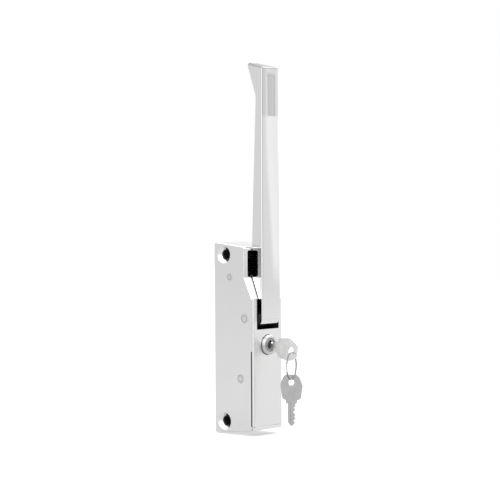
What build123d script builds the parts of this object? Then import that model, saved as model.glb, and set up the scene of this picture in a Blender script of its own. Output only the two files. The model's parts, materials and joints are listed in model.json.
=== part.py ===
from build123d import *
import math
import os

# Edge-mounted handle latch. Millimetres, +Z up, -Y towards the person who pulls the handle.
# The case is drawn about its middle plane and moved at the end, so that the origin lies on the
# mounting face (+X side), midway between the two mounting screws.

# Case
case_width = 42.0
case_height = 190.0
body_depth = 50.0
end_draft = 6.3
side_wall = 3.2
end_wall = 3.2
rear_wall = 3.0
case_edge_radius = 0.9
case_corner_radius = 2.4
upper_recess = 10.0
slope_top_z = 60.5
slope_bottom_z = 39.4
web_thickness = 2.6

# Mounting screws
screw_from_end = 12.5
screw_hole_diameter = 9.0
screw_head_diameter = 17.0
screw_head_angle = 90.0
screw_from_rear = 13.0
screw_boss_diameter = 14.0

# Keeper mouth in the rear wall
mouth_width = 21.0
mouth_top_z = -20.0
mouth_bottom_z = -53.0
mouth_corner_radius = 3.0

# Front cover
cover_thickness = 2.2
cover_edge_radius = 1.7
cover_top_gap = 0.2
cover_bottom_z = -85.8
seam_gap = 0.5
seam_top_z = -12.0
slot_bottom_z = 9.6
slot_corner_radius = 1.2
lip_thickness = 1.6
lip_depth = 7.0
lip_clearance = 0.2
lug_margin = 6.0

# Cross pins
lever_pin_depth = 10.0
lever_pin_z = 20.0
lever_pin_diameter = 7.0
pawl_pin_depth = 15.4
pawl_pin_z = -39.2
pawl_pin_diameter = 6.0
stop_pin_behind_lever = 19.5
stop_pin_z = 60.4
stop_pin_diameter = 5.0
pin_head_extra = 1.6
pin_head_angle = 90.0
pin_dome = 0.35
pin_hole_clearance = 0.05
running_clearance = 0.06
rivet_end_gap = 0.25
rivet_head_thickness = 0.8

# Handle
handle_proud = 5.8
handle_slot_gap = 2.5
handle_tip_narrowing = 1.0
handle_taper_start_z = 137.0
handle_top_z = 272.0
handle_top_drop = 4.8
handle_tip_depth = 18.3
handle_neck_z = 237.0
handle_neck_depth = 7.8
handle_root_z = 61.0
handle_root_depth = 13.6
handle_throat_depth = 4.7
flare_top_z = 264.0
flare_depth = 17.4
chin_top_z = 20.0
chin_bottom_z = 15.0
chin_run = 3.8
handle_edge_radius = 1.5
handle_corner_radii = [2.0, 1.0, 0.0, 0.0, 0.6, 1.5, 6.0, 14.0, 9.0, 1.2, 3.0]
throat_step = 0.6
front_flat_width = 14.0
front_bevel_drop = 0.45
thumb_panel_width = 9.0
thumb_panel_length = 44.0
thumb_panel_depth = 0.5
thumb_panel_top_z = 259.0
lug_top_z = 35.5
lever_boss_radius = 8.6
handle_rear_inset = 7.0
boss_joint_inset = 8.0
boss_joint_radius = 5.0
tail_width = 12.6
tail_height = 9.0
tail_reach = 24.0
nib_width = 8.0
nib_reach = 16.0
nib_front = 5.4
nib_thickness = 2.0
lever_washer_diameter = 15.0
washer_clearance = 0.15

# Pull links
link_y = 14.0
link_z = -4.0
link_thickness = 2.4
link_width = 8.0
link_side_gap = 0.35
link_pin_diameter = 5.0
link_pin_head_diameter = 7.4
link_open_clearance = 0.45

# Pawl and roller
roller_y = 23.6
roller_z = 11.2
roller_diameter = 12.0
roller_width = 6.0
roller_side_gap = 0.3
roller_edge_chamfer = 0.6
roller_pin_diameter = 4.0
roller_pin_head_diameter = 6.8
cheek_thickness = 3.0
cheek_width = 9.0
pawl_hub_diameter = 12.0
spacer_diameter = 9.0
spacer_clearance = 0.15

# Return spring
spring_diameter = 10.0
spring_wire = 1.4
spring_turns = 7.0
spring_seat_diameter = 12.0
spring_seat_height = 11.0
spring_spigot_diameter = 6.4
spring_spigot_length = 4.0
spring_end_gap = 0.3

# Lock
lock_z = -6.0
collar_diameter = 19.5
collar_height = 3.5
collar_bevel = 1.2
barrel_diameter = 16.0
barrel_length = 20.0
barrel_flat_width = 13.8
barrel_hole_clearance = 0.1
lock_nut_across = 22.0
lock_nut_thickness = 4.0
plug_diameter = 12.0
plug_inset = 0.4
keyway_height = 9.2
keyway_width = 2.5
keyway_depth = 19.0
cam_square = 7.5
cam_square_length = 2.4
cam_thickness = 2.1
cam_reach = 14.0
cam_width = 9.0
cam_eye_diameter = 13.0
cam_clearance = 0.1
cam_face_gap = 0.05
cam_washer_diameter = 9.0
cam_washer_thickness = 0.8
cam_washer_bore = 4.4
cam_stack_gap = 0.02
cam_screw_diameter = 4.0
cam_screw_length = 4.0
cam_screw_end_gap = 0.3
cam_screw_head_diameter = 8.0
cam_screw_head_height = 2.6
cam_screw_rim_radius = 1.0
cam_screw_socket = 3.0
cam_screw_socket_depth = 1.56

# Keys
key_thickness = 2.0
key_blade_length = 22.0
key_blade_height = 7.2
key_insertion = 15.0
key_droop = 6.0
key_neck_length = 3.5
key_neck_height = 11.0
key_bow_length = 24.5
key_bow_height = 23.0
key_bow_root_height = 18.0
key_bow_end_height = 14.26
key_bow_widest = 9.8
key_tip_height = 1.2
key_first_cut = 1.6
key_hole_diameter = 6.4
key_hole_from_tip = 7.4
key_groove_width = 1.3
key_groove_depth = 0.45
key_cut_depths = [1.7, 1.0, 2.0, 1.2]
key_cut_spacing = 4.2
key_edge_chamfer = 0.25

# Key ring
ring_diameter = 28.4
ring_wire = 1.4
ring_turn = 21.0
ring_rest_gap = 0.3

# Places worked out from the sizes
half_width = case_width / 2
screw_spacing = case_height - 2 * screw_from_end
rear_y = screw_from_rear
body_front_y = rear_y - body_depth
front_y = body_front_y - cover_thickness
recess_y = body_front_y + upper_recess
inner_half = half_width - side_wall
draft_slope = math.tan(math.radians(end_draft))
lip_outer = inner_half - lip_clearance
lip_inner = lip_outer - lip_thickness
slot_half = lip_inner
lever_pin_y = body_front_y + lever_pin_depth
pawl_pin_y = body_front_y + pawl_pin_depth
stop_pin_y = lever_pin_y + stop_pin_behind_lever
handle_front_y = front_y - handle_proud
handle_half = slot_half - handle_slot_gap
tip_half = handle_half - handle_tip_narrowing
tail_half = tail_width / 2
link_inner = tail_half + link_side_gap
link_outer = link_inner + link_thickness
cheek_inner = roller_width / 2 + roller_side_gap
cheek_outer = cheek_inner + cheek_thickness
roller_abs_y = pawl_pin_y + roller_y
roller_abs_z = pawl_pin_z + roller_z
link_abs_y = lever_pin_y + link_y
link_abs_z = lever_pin_z + link_z
collar_front_y = front_y - collar_height
plug_front_y = collar_front_y + plug_inset
barrel_rear_y = front_y + barrel_length
cam_front_y = barrel_rear_y + cam_clearance
square_rear_y = cam_front_y + cam_square_length


def end_z(y):
    """Height of the drafted end faces above mid height at depth y."""
    return case_height / 2 - (rear_y - y) * draft_slope


def side_outline(points, radii):
    """Closed outline in the side view (Y, Z), with one corner radius for each point."""
    return Plane.YZ * make_face(FilletPolyline(*points, radius=radii, close=True))


def slab(points, radii, x_from, x_to):
    """Side-view outline made solid between two X planes."""
    return Pos(x_from, 0, 0) * extrude(side_outline(points, radii), amount=x_to - x_from)


def rod_x(diameter, x_from, x_to, y, z):
    """Round bar along X."""
    return Pos((x_from + x_to) / 2, y, z) * Rot(0, 90, 0) * Cylinder(diameter / 2, x_to - x_from)


def rod_y(diameter, y_from, y_to, x, z):
    """Round bar along Y."""
    return Pos(x, (y_from + y_to) / 2, z) * Rot(90, 0, 0) * Cylinder(diameter / 2, y_to - y_from)


def block(x_from, x_to, y_from, y_to, z_from, z_to):
    """Rectangular block between corner planes."""
    size = (x_to - x_from, y_to - y_from, z_to - z_from)
    return Pos((x_from + x_to) / 2, (y_from + y_to) / 2, (z_from + z_to) / 2) * Box(*size)


def cone_x(diameter, angle, x_face, inward, y, z):
    """Countersink cone with its wide end on an X plane, narrowing along inward (+1 or -1)."""
    depth = diameter / 2 / math.tan(math.radians(angle / 2))
    turn = Rot(0, 90 * inward, 0)
    return Pos(x_face + inward * depth / 2, y, z) * turn * Cone(diameter / 2, 0.0, depth)


def case_outline():
    """Side view of the case: drafted ends, upper front set back, slope down to the full depth."""
    return [
        (rear_y, -case_height / 2),
        (rear_y, case_height / 2),
        (recess_y, end_z(recess_y)),
        (recess_y, slope_top_z),
        (body_front_y, slope_bottom_z),
        (body_front_y, -end_z(body_front_y)),
    ]


def cavity_outline():
    """Side view of the hollow: the case walls, with the front open above and below the web."""
    beyond = body_front_y - upper_recess
    slope_run = (recess_y - body_front_y) / (slope_top_z - slope_bottom_z)
    web_back = web_thickness * math.sqrt(1 + slope_run ** 2)
    inside_y = rear_y - rear_wall
    return [
        (inside_y, -end_z(inside_y) + end_wall),
        (inside_y, end_z(inside_y) - end_wall),
        (beyond, end_z(beyond) - end_wall),
        (beyond, slope_top_z),
        (recess_y + web_back, slope_top_z),
        (body_front_y + web_back, slope_bottom_z),
        (beyond, slope_bottom_z),
        (beyond, -end_z(body_front_y) + end_wall),
        (body_front_y, -end_z(body_front_y) + end_wall),
    ]


def pin_heads(diameter, y, z, clearance):
    """Countersunk seats for the two riveted heads of a cross pin."""
    head = diameter + 2 * pin_head_extra + 2 * clearance
    left = cone_x(head, pin_head_angle, -half_width, 1, y, z)
    right = cone_x(head, pin_head_angle, half_width, -1, y, z)
    return left + right


def make_case_body():
    points = case_outline()
    radii = [case_corner_radius] * len(points)
    body = slab(points, radii, -half_width, half_width)
    rims = body.faces().sort_by(Axis.X)[0].edges() + body.faces().sort_by(Axis.X)[-1].edges()
    body = fillet(rims, case_edge_radius)

    hollow = cavity_outline()
    body -= slab(hollow, [0.0] * len(hollow), -inner_half, inner_half)
    seam = block(-half_width, half_width, body_front_y - 1, body_front_y + seam_gap,
                 cover_bottom_z, seam_top_z)
    body -= seam

    for side in (-1, 1):
        z = side * screw_spacing / 2
        body += rod_x(screw_boss_diameter, -half_width + 1, half_width - 1, 0, z)
    for side in (-1, 1):
        z = side * screw_spacing / 2
        body -= rod_x(screw_hole_diameter, -half_width - 1, half_width + 1, 0, z)
        body -= cone_x(screw_head_diameter, screw_head_angle, -half_width, 1, 0, z)

    mouth_height = mouth_top_z - mouth_bottom_z
    mouth_middle = (mouth_top_z + mouth_bottom_z) / 2
    mouth = Plane.XZ * RectangleRounded(mouth_width, mouth_height, mouth_corner_radius)
    body -= Pos(0, rear_y + 1, mouth_middle) * extrude(mouth, amount=rear_wall + 2)

    for diameter, y, z in cross_pins():
        bore = diameter + 2 * pin_hole_clearance
        body -= rod_x(bore, -half_width - 1, half_width + 1, y, z)
        body -= pin_heads(diameter, y, z, pin_hole_clearance)
    return body


def cross_pins():
    """Diameter, Y and Z of the three pins that cross the case."""
    return [
        (lever_pin_diameter, lever_pin_y, lever_pin_z),
        (pawl_pin_diameter, pawl_pin_y, pawl_pin_z),
        (stop_pin_diameter, stop_pin_y, stop_pin_z),
    ]


def make_pin(diameter, y, z):
    """Cross pin with a flush countersunk head at the mounting face and a low dome at the other."""
    pin = rod_x(diameter, -half_width, half_width, y, z)
    pin += pin_heads(diameter, y, z, 0.0)
    head = diameter + 2 * pin_head_extra
    dome_radius = (head ** 2 / 4 + pin_dome ** 2) / (2 * pin_dome)
    ball = Pos(-half_width - pin_dome + dome_radius, y, z) * Sphere(dome_radius)
    pin += ball & rod_x(head, -half_width - pin_dome, -half_width, y, z)
    return pin


def make_front_cover():
    top = slope_bottom_z - cover_top_gap
    plate = block(-half_width, half_width, front_y, body_front_y, cover_bottom_z, top)
    front_sides = plate.faces().sort_by(Axis.Y)[0].edges().filter_by(Axis.Z)
    plate = fillet(front_sides, cover_edge_radius)

    slot_height = top - slot_bottom_z
    slot = Plane.XZ * RectangleRounded(2 * slot_half, 2 * slot_height, slot_corner_radius)
    plate -= Pos(0, body_front_y + 1, top) * extrude(slot, amount=cover_thickness + 2)

    lip_rear = body_front_y + lip_depth
    lugs = [(lever_pin_y, lever_pin_z), (pawl_pin_y, pawl_pin_z)]
    for x_from, x_to in ((-lip_outer, -lip_inner), (lip_inner, lip_outer)):
        plate += block(x_from, x_to, body_front_y, lip_rear, cover_bottom_z + 2, top - 2)
        for y, z in lugs:
            plate += block(x_from, x_to, body_front_y, y, z - lug_margin, z + lug_margin)
            plate += rod_x(2 * lug_margin, x_from, x_to, y, z)

    for diameter, y, z in cross_pins()[:2]:
        plate -= rod_x(diameter + 2 * pin_hole_clearance, -half_width, half_width, y, z)
    hole = barrel_diameter + 2 * barrel_hole_clearance
    plate -= rod_y(hole, front_y - 1, body_front_y + 1, 0, lock_z)
    return plate


def handle_outline():
    """Side view of the lever outside the case, from chin to flared tip and back to the throat."""
    tip_rear = handle_front_y + handle_tip_depth
    return [
        (handle_front_y, chin_top_z),
        (handle_front_y + chin_run, chin_bottom_z),
        (lever_pin_y - handle_rear_inset, chin_bottom_z),
        (lever_pin_y - handle_rear_inset, lug_top_z),
        (handle_front_y + handle_throat_depth, lug_top_z),
        (handle_front_y + handle_throat_depth, slope_bottom_z + throat_step),
        (handle_front_y + handle_root_depth, handle_root_z),
        (handle_front_y + handle_neck_depth, handle_neck_z),
        (handle_front_y + flare_depth, flare_top_z),
        (tip_rear, handle_top_z),
        (handle_front_y, handle_top_z - handle_top_drop),
    ]


def make_handle():
    lever = slab(handle_outline(), handle_corner_radii, -handle_half, handle_half)

    front_view = [
        (-handle_half, chin_bottom_z - 5),
        (-handle_half, handle_taper_start_z),
        (-tip_half, handle_top_z + 5),
        (tip_half, handle_top_z + 5),
        (handle_half, handle_taper_start_z),
        (handle_half, chin_bottom_z - 5),
    ]
    taper = extrude(Plane.XZ * make_face(Polyline(*front_view, close=True)), amount=60)
    lever = lever & (Pos(0, 5, 0) * taper)

    flat_half = front_flat_width / 2
    for side in (-1, 1):
        bevel = [
            (side * flat_half, handle_front_y),
            (side * (handle_half + 1), handle_front_y + front_bevel_drop),
            (side * (handle_half + 1), handle_front_y - 2),
            (side * flat_half, handle_front_y - 2),
        ]
        wedge = extrude(make_face(Polyline(*bevel, close=True)), amount=2 * handle_top_z)
        lever -= wedge

    lever = fillet(lever.edges().filter_by(is_long_side_edge), handle_edge_radius)

    panel = Plane.XZ * SlotOverall(thumb_panel_length, thumb_panel_width, rotation=90)
    panel_z = thumb_panel_top_z - thumb_panel_length / 2
    lever -= Pos(0, handle_front_y - 0.01, panel_z) * extrude(panel, amount=-thumb_panel_depth)

    root = lever_boss() + handle_tail() + lock_nib()
    lever += root
    bore = lever_pin_diameter + 2 * running_clearance
    lever -= rod_x(bore, -half_width, half_width, lever_pin_y, lever_pin_z)
    lever -= rod_x(link_pin_diameter, -half_width, half_width, link_abs_y, link_abs_z)
    return lever


def is_long_side_edge(edge):
    """Edges that run along the sides of the lever outside the case."""
    box = edge.bounding_box()
    at_side = min(abs(box.min.X), abs(box.max.X)) > tip_half - handle_tip_narrowing
    outside = box.max.Y < front_y + 14 and box.min.Z > lug_top_z - 1
    return at_side and outside


def lever_boss():
    """Boss round the lever pin and the block that joins it to the lever through the slot."""
    boss = rod_x(2 * lever_boss_radius, -handle_half, handle_half, lever_pin_y, lever_pin_z)
    joint = [
        (lever_pin_y - boss_joint_inset, chin_bottom_z),
        (lever_pin_y, lever_pin_z - lever_boss_radius + 0.4),
        (lever_pin_y, lug_top_z - 1.5),
        (lever_pin_y - boss_joint_inset, lug_top_z),
    ]
    return boss + slab(joint, [0.0, 0.0, boss_joint_radius, 0.0], -handle_half, handle_half)


def handle_tail():
    """Short arm behind the pin that lifts the links and carries the return spring."""
    tail = [
        (lever_pin_y, lever_pin_z + tail_height / 2),
        (lever_pin_y + tail_reach, lever_pin_z),
        (lever_pin_y + tail_reach, lever_pin_z + link_z),
        (link_abs_y, link_abs_z - tail_height / 2),
        (lever_pin_y, lever_pin_z - tail_height / 2),
    ]
    return slab(tail, [0.0, 1.0, 1.5, 3.0, 0.0], -tail_half, tail_half)


def lock_nib():
    """Stop under the tail that the lock's tongue blocks when the lock is turned."""
    front = lever_pin_y + nib_front
    bottom = lever_pin_z - nib_reach
    return block(-nib_width / 2, nib_width / 2, front, front + nib_thickness, bottom, lever_pin_z)


def make_lever_washers():
    outer = lip_inner - washer_clearance
    inner = handle_half + washer_clearance
    bore = rod_x(lever_pin_diameter + 2 * pin_hole_clearance, -half_width, half_width,
                 lever_pin_y, lever_pin_z)
    washers = []
    for x_from, x_to in ((-outer, -inner), (inner, outer)):
        washers.append(rod_x(lever_washer_diameter, x_from, x_to, lever_pin_y, lever_pin_z) - bore)
    return washers


def make_rivet(diameter, head_diameter, y, z):
    """Small pin through both pull links, with a flat head outside each link."""
    end = link_outer + rivet_end_gap
    rivet = rod_x(diameter, -end, end, y, z)
    for x_from in (-end - rivet_head_thickness, end):
        rivet += rod_x(head_diameter, x_from, x_from + rivet_head_thickness, y, z)
    return rivet


def make_pull_links():
    run_y = roller_abs_y - link_abs_y
    run_z = roller_abs_z - link_abs_z
    length = math.hypot(run_y, run_z)
    lean = math.degrees(math.atan2(run_z, run_y))
    strip = Plane.YZ * SlotCenterToCenter(length, link_width)
    strip = extrude(strip, amount=link_thickness)
    top = rod_x(link_pin_diameter + 2 * running_clearance, -half_width, half_width,
                link_abs_y, link_abs_z)
    bottom = rod_x(roller_pin_diameter + 2 * link_open_clearance, -half_width, half_width,
                   roller_abs_y, roller_abs_z)
    links = []
    for x_from in (-link_outer, link_inner):
        middle = Pos(x_from, (roller_abs_y + link_abs_y) / 2, (roller_abs_z + link_abs_z) / 2)
        links.append(middle * Rot(lean, 0, 0) * strip - top - bottom)
    return links


def make_pawl():
    """Two cheeks that carry the roller, joined by the hub round the pawl pin."""
    length = math.hypot(roller_y, roller_z)
    lean = math.degrees(math.atan2(roller_z, roller_y))
    cheek = extrude(Plane.YZ * SlotCenterToCenter(length, cheek_width), amount=cheek_thickness)
    pawl = rod_x(pawl_hub_diameter, -cheek_outer, cheek_outer, pawl_pin_y, pawl_pin_z)
    for x_from in (-cheek_outer, cheek_inner):
        middle = Pos(x_from, pawl_pin_y + roller_y / 2, pawl_pin_z + roller_z / 2)
        pawl += middle * Rot(lean, 0, 0) * cheek
    bore = pawl_pin_diameter + 2 * running_clearance
    pawl -= rod_x(bore, -half_width, half_width, pawl_pin_y, pawl_pin_z)
    pawl -= rod_x(roller_pin_diameter, -half_width, half_width, roller_abs_y, roller_abs_z)
    return pawl


def make_pawl_roller():
    half = roller_width / 2
    roller = rod_x(roller_diameter, -half, half, roller_abs_y, roller_abs_z)
    roller = chamfer(roller.edges().filter_by(GeomType.CIRCLE), roller_edge_chamfer)
    bore = roller_pin_diameter + 2 * running_clearance
    return roller - rod_x(bore, -half - 1, half + 1, roller_abs_y, roller_abs_z)


def make_pawl_spacers():
    outer = inner_half - lip_clearance - lip_thickness - spacer_clearance
    inner = cheek_outer + spacer_clearance
    bore = rod_x(pawl_pin_diameter + 2 * pin_hole_clearance, -half_width, half_width,
                 pawl_pin_y, pawl_pin_z)
    spacers = []
    for x_from, x_to in ((-outer, -inner), (inner, outer)):
        spacers.append(rod_x(spacer_diameter, x_from, x_to, pawl_pin_y, pawl_pin_z) - bore)
    return spacers


def make_spring_seat():
    """Saddle that hangs on the stop pin and holds the top of the return spring."""
    bottom = stop_pin_z - spring_seat_height / 2
    seat = Pos(0, stop_pin_y, stop_pin_z) * Cylinder(spring_seat_diameter / 2, spring_seat_height)
    seat += Pos(0, stop_pin_y, bottom - spring_spigot_length / 2) * Cylinder(
        spring_spigot_diameter / 2, spring_spigot_length)
    bore = stop_pin_diameter + 2 * pin_hole_clearance
    return seat - rod_x(bore, -half_width, half_width, stop_pin_y, stop_pin_z)


def make_return_spring():
    """Compression spring between the seat and the top of the handle's tail."""
    seat_z = stop_pin_z - spring_seat_height / 2
    share = (stop_pin_y - lever_pin_y) / tail_reach
    tail_z = lever_pin_z + tail_height / 2 * (1 - share)
    bottom = tail_z + spring_wire / 2 + spring_end_gap + 0.4
    top = seat_z - spring_wire / 2 - spring_end_gap
    radius = (spring_diameter - spring_wire) / 2
    pitch = (top - bottom) / spring_turns
    path = Pos(0, stop_pin_y, bottom) * Helix(pitch, top - bottom, radius)
    section = Plane(origin=path @ 0, z_dir=path % 0) * Circle(spring_wire / 2)
    return sweep(section, path=path, is_frenet=True)


def make_lock_barrel():
    body = rod_y(barrel_diameter, front_y, barrel_rear_y, 0, lock_z)
    flat = barrel_flat_width / 2
    beyond = barrel_diameter
    for x_from, x_to in ((-beyond, -flat), (flat, beyond)):
        body -= block(x_from, x_to, body_front_y + lock_nut_thickness, barrel_rear_y + 1,
                      lock_z - beyond, lock_z + beyond)
    collar = rod_y(collar_diameter, collar_front_y, front_y, 0, lock_z)
    rim = collar.faces().sort_by(Axis.Y)[0].edges()
    collar = chamfer(rim, collar_bevel)
    body += collar
    bore = plug_diameter + 2 * running_clearance
    return body - rod_y(bore, collar_front_y - 1, barrel_rear_y + 1, 0, lock_z)


def make_lock_nut():
    hexagon = Plane.XZ * RegularPolygon(lock_nut_across / 2, 6, major_radius=False)
    nut = Pos(0, body_front_y + lock_nut_thickness, lock_z) * extrude(hexagon, amount=lock_nut_thickness)
    bore = barrel_diameter + 2 * running_clearance
    return nut - rod_y(bore, body_front_y - 1, body_front_y + lock_nut_thickness + 1, 0, lock_z)


def make_lock_plug():
    plug = rod_y(plug_diameter, plug_front_y, cam_front_y, 0, lock_z)
    square = cam_square / 2
    plug += block(-square, square, cam_front_y, square_rear_y, lock_z - square, lock_z + square)
    half_way = keyway_width / 2
    half_tall = keyway_height / 2
    plug -= block(-half_way, half_way, plug_front_y - 1, plug_front_y + keyway_depth,
                  lock_z - half_tall, lock_z + half_tall)
    thread = cam_screw_diameter
    plug -= rod_y(thread, square_rear_y - cam_screw_length, square_rear_y + 1, 0, lock_z)
    return plug


def make_cam_tongue():
    """Flat tongue on the plug's square, turned to the side while the lock is open."""
    front = cam_front_y + cam_face_gap
    rear = cam_front_y + cam_thickness
    half = cam_width / 2
    eye = rod_y(cam_eye_diameter, front, rear, 0, lock_z)
    arm = block(0, cam_reach - half, front, rear, lock_z - half, lock_z + half)
    arm += rod_y(cam_width, front, rear, cam_reach - half, lock_z)
    square = cam_square / 2 + cam_clearance
    hole = block(-square, square, cam_front_y - 1, rear + 1, lock_z - square, lock_z + square)
    return eye + arm - hole


def make_cam_washer():
    start = square_rear_y + cam_stack_gap
    washer = rod_y(cam_washer_diameter, start, start + cam_washer_thickness, 0, lock_z)
    return washer - rod_y(cam_washer_bore, start - 1, start + 3, 0, lock_z)


def make_cam_screw():
    start = square_rear_y + 2 * cam_stack_gap + cam_washer_thickness
    end = start + cam_screw_head_height
    head = rod_y(cam_screw_head_diameter, start, end, 0, lock_z)
    rim = head.faces().sort_by(Axis.Y)[-1].edges()
    head = fillet(rim, cam_screw_rim_radius)
    socket = Plane.XZ * RegularPolygon(cam_screw_socket / 2, 6, major_radius=False)
    head -= Pos(0, end + 0.01, lock_z) * extrude(socket, amount=cam_screw_socket_depth)
    shank = cam_screw_diameter - 2 * running_clearance
    shank_front = square_rear_y - cam_screw_length + cam_screw_end_gap
    return head + rod_y(shank, shank_front, start + 0.5, 0, lock_z)


def key_outline():
    """Key seen flat: the blade points to +Y from the neck, the bow ends at -Y."""
    half_blade = key_blade_height / 2
    half_neck = key_neck_height / 2
    half_root = key_bow_root_height / 2
    half_bow = key_bow_height / 2
    neck_end = -key_neck_length
    bow_end = neck_end - key_bow_length
    half_end = key_bow_end_height / 2
    half_tip = key_tip_height / 2
    widest = bow_end + key_bow_widest
    tip = key_blade_length
    points = [
        (0, -half_blade),
        (tip - half_blade, -half_blade),
        (tip, -half_tip),
        (tip, half_tip),
    ]
    radii = [0.0, 0.6, 0.2, 0.2]
    cuts, cut_radii = key_cuts(half_blade, tip - half_blade)
    points += cuts + [(0, half_blade)]
    radii += cut_radii + [0.0]
    points += [
        (0, half_neck), (neck_end, half_neck), (neck_end, half_root), (widest, half_bow),
        (bow_end, half_end), (bow_end, -half_end), (widest, -half_bow),
        (neck_end, -half_root), (neck_end, -half_neck), (0, -half_neck),
    ]
    radii += [0.8, 1.0, 3.0, 9.0, 5.0, 5.0, 9.0, 3.0, 1.0, 0.8]
    return points, radii


def key_cuts(top, start):
    """Shallow V cuts along the upper edge of the blade, from its tip towards the neck."""
    points = []
    radii = []
    for index, depth in enumerate(key_cut_depths):
        middle = start - key_first_cut - index * key_cut_spacing
        points += [(middle + depth, top), (middle, top - depth), (middle - depth, top)]
        radii += [0.0, 0.4, 0.0]
    return points, radii


def make_key_blank():
    """Flat key in the Y-Z plane, neck at the origin, blade to +Y and cuts to +Z."""
    points, radii = key_outline()
    key = slab(points, radii, -key_thickness / 2, key_thickness / 2)
    hole_y = -key_neck_length - key_bow_length + key_hole_from_tip
    hole = rod_x(key_hole_diameter, -key_thickness, key_thickness, hole_y, 0)
    key -= hole
    rims = key.edges().filter_by(GeomType.CIRCLE).filter_by(
        lambda e: abs(e.radius - key_hole_diameter / 2) < 0.01)
    key = chamfer(rims, key_edge_chamfer)
    for side in (-1, 1):
        x_groove = side * key_thickness / 2
        key -= block(x_groove - key_groove_depth, x_groove + key_groove_depth, -1.5,
                     key_blade_length + 1, -0.9, -0.9 + key_groove_width)
    return key, hole_y


def key_place():
    """Where the key in the lock sits: its neck before the plug, its bow hanging a little low."""
    neck_y = plug_front_y - (key_blade_length - key_insertion)
    held_middle = key_blade_length - key_insertion / 2
    drop = held_middle * math.sin(math.radians(key_droop))
    return Pos(0, neck_y, lock_z - drop) * Rot(key_droop, 0, 0)


def make_key_set():
    """Key in the lock, ring through its hole and spare key on the ring."""
    blank, hole_y = make_key_blank()
    place = key_place()
    key = place * blank
    hole = (place * Pos(0, hole_y, 0)).position
    wire_drop = key_hole_diameter / 2 - ring_wire / 2 - ring_rest_gap
    top = Vector(0, hole.Y, hole.Z - wire_drop)
    ring_radius = (ring_diameter - ring_wire) / 2
    turn = Rot(0, 0, ring_turn)
    centre = Pos(top.X, top.Y, top.Z - ring_radius)
    ring = centre * turn * Rot(90, 0, 0) * Torus(ring_radius, ring_wire / 2)
    bottom = Vector(top.X, top.Y, top.Z - 2 * ring_radius)
    hang = Pos(bottom.X, bottom.Y, bottom.Z - wire_drop) * turn
    spare = hang * Rot(-90, 0, 0) * Rot(0, 180, 0) * Pos(0, -hole_y, 0) * blank
    return key, ring, spare, top, bottom


def collect_pieces():
    key, ring, spare, ring_top, ring_bottom = make_key_set()
    pins = cross_pins()
    pieces = {
        "case_body": make_case_body(),
        "front_cover": make_front_cover(),
        "lever_pin": make_pin(*pins[0]),
        "pawl_pin": make_pin(*pins[1]),
        "stop_pin": make_pin(*pins[2]),
        "handle": make_handle(),
        "lever_washers": make_lever_washers(),
        "link_pin": make_rivet(link_pin_diameter, link_pin_head_diameter, link_abs_y, link_abs_z),
        "pull_links": make_pull_links(),
        "pawl": make_pawl(),
        "pawl_roller": make_pawl_roller(),
        "roller_pin": make_rivet(roller_pin_diameter, roller_pin_head_diameter,
                                 roller_abs_y, roller_abs_z),
        "pawl_spacers": make_pawl_spacers(),
        "spring_seat": make_spring_seat(),
        "return_spring": make_return_spring(),
        "lock_barrel": make_lock_barrel(),
        "lock_nut": make_lock_nut(),
        "lock_plug": make_lock_plug(),
        "cam_tongue": make_cam_tongue(),
        "cam_washer": make_cam_washer(),
        "cam_screw": make_cam_screw(),
        "key": key,
        "key_ring": ring,
        "spare_key": spare,
    }
    return pieces, ring_top, ring_bottom


def main():
    os.makedirs("parts", exist_ok=True)
    to_mounting_face = Pos(-half_width, 0, 0)
    pieces, ring_top, ring_bottom = collect_pieces()
    for name, piece in pieces.items():
        if isinstance(piece, list):
            piece = Compound(piece)
        export_step(to_mounting_face * piece, f"parts/{name}.step")
    print("ring hangs at", ring_top - Vector(half_width, 0, 0))
    print("spare key hangs at", ring_bottom - Vector(half_width, 0, 0))


main()
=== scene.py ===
# %% [markdown]
# A chrome handle latch for a heavy door. The solid model already has every piece at its real size and
# place, so this lesson is mostly about surfaces: how plated castings, turned pins, nickel keys and spring
# wire look, and how a pale studio makes polished metal readable. Five pieces are also shaped here, because
# their forms are finer than the solids: the ring, the spring, the lever, the window frame and the sill. We
# begin by opening the solid model. It could be modelled again here, but loading it keeps every piece where
# the moving joints expect it.

# %% Open the solid model
import json
import math

import bmesh
import bpy
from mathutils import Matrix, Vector
from mathutils.geometry import tessellate_polygon


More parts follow.
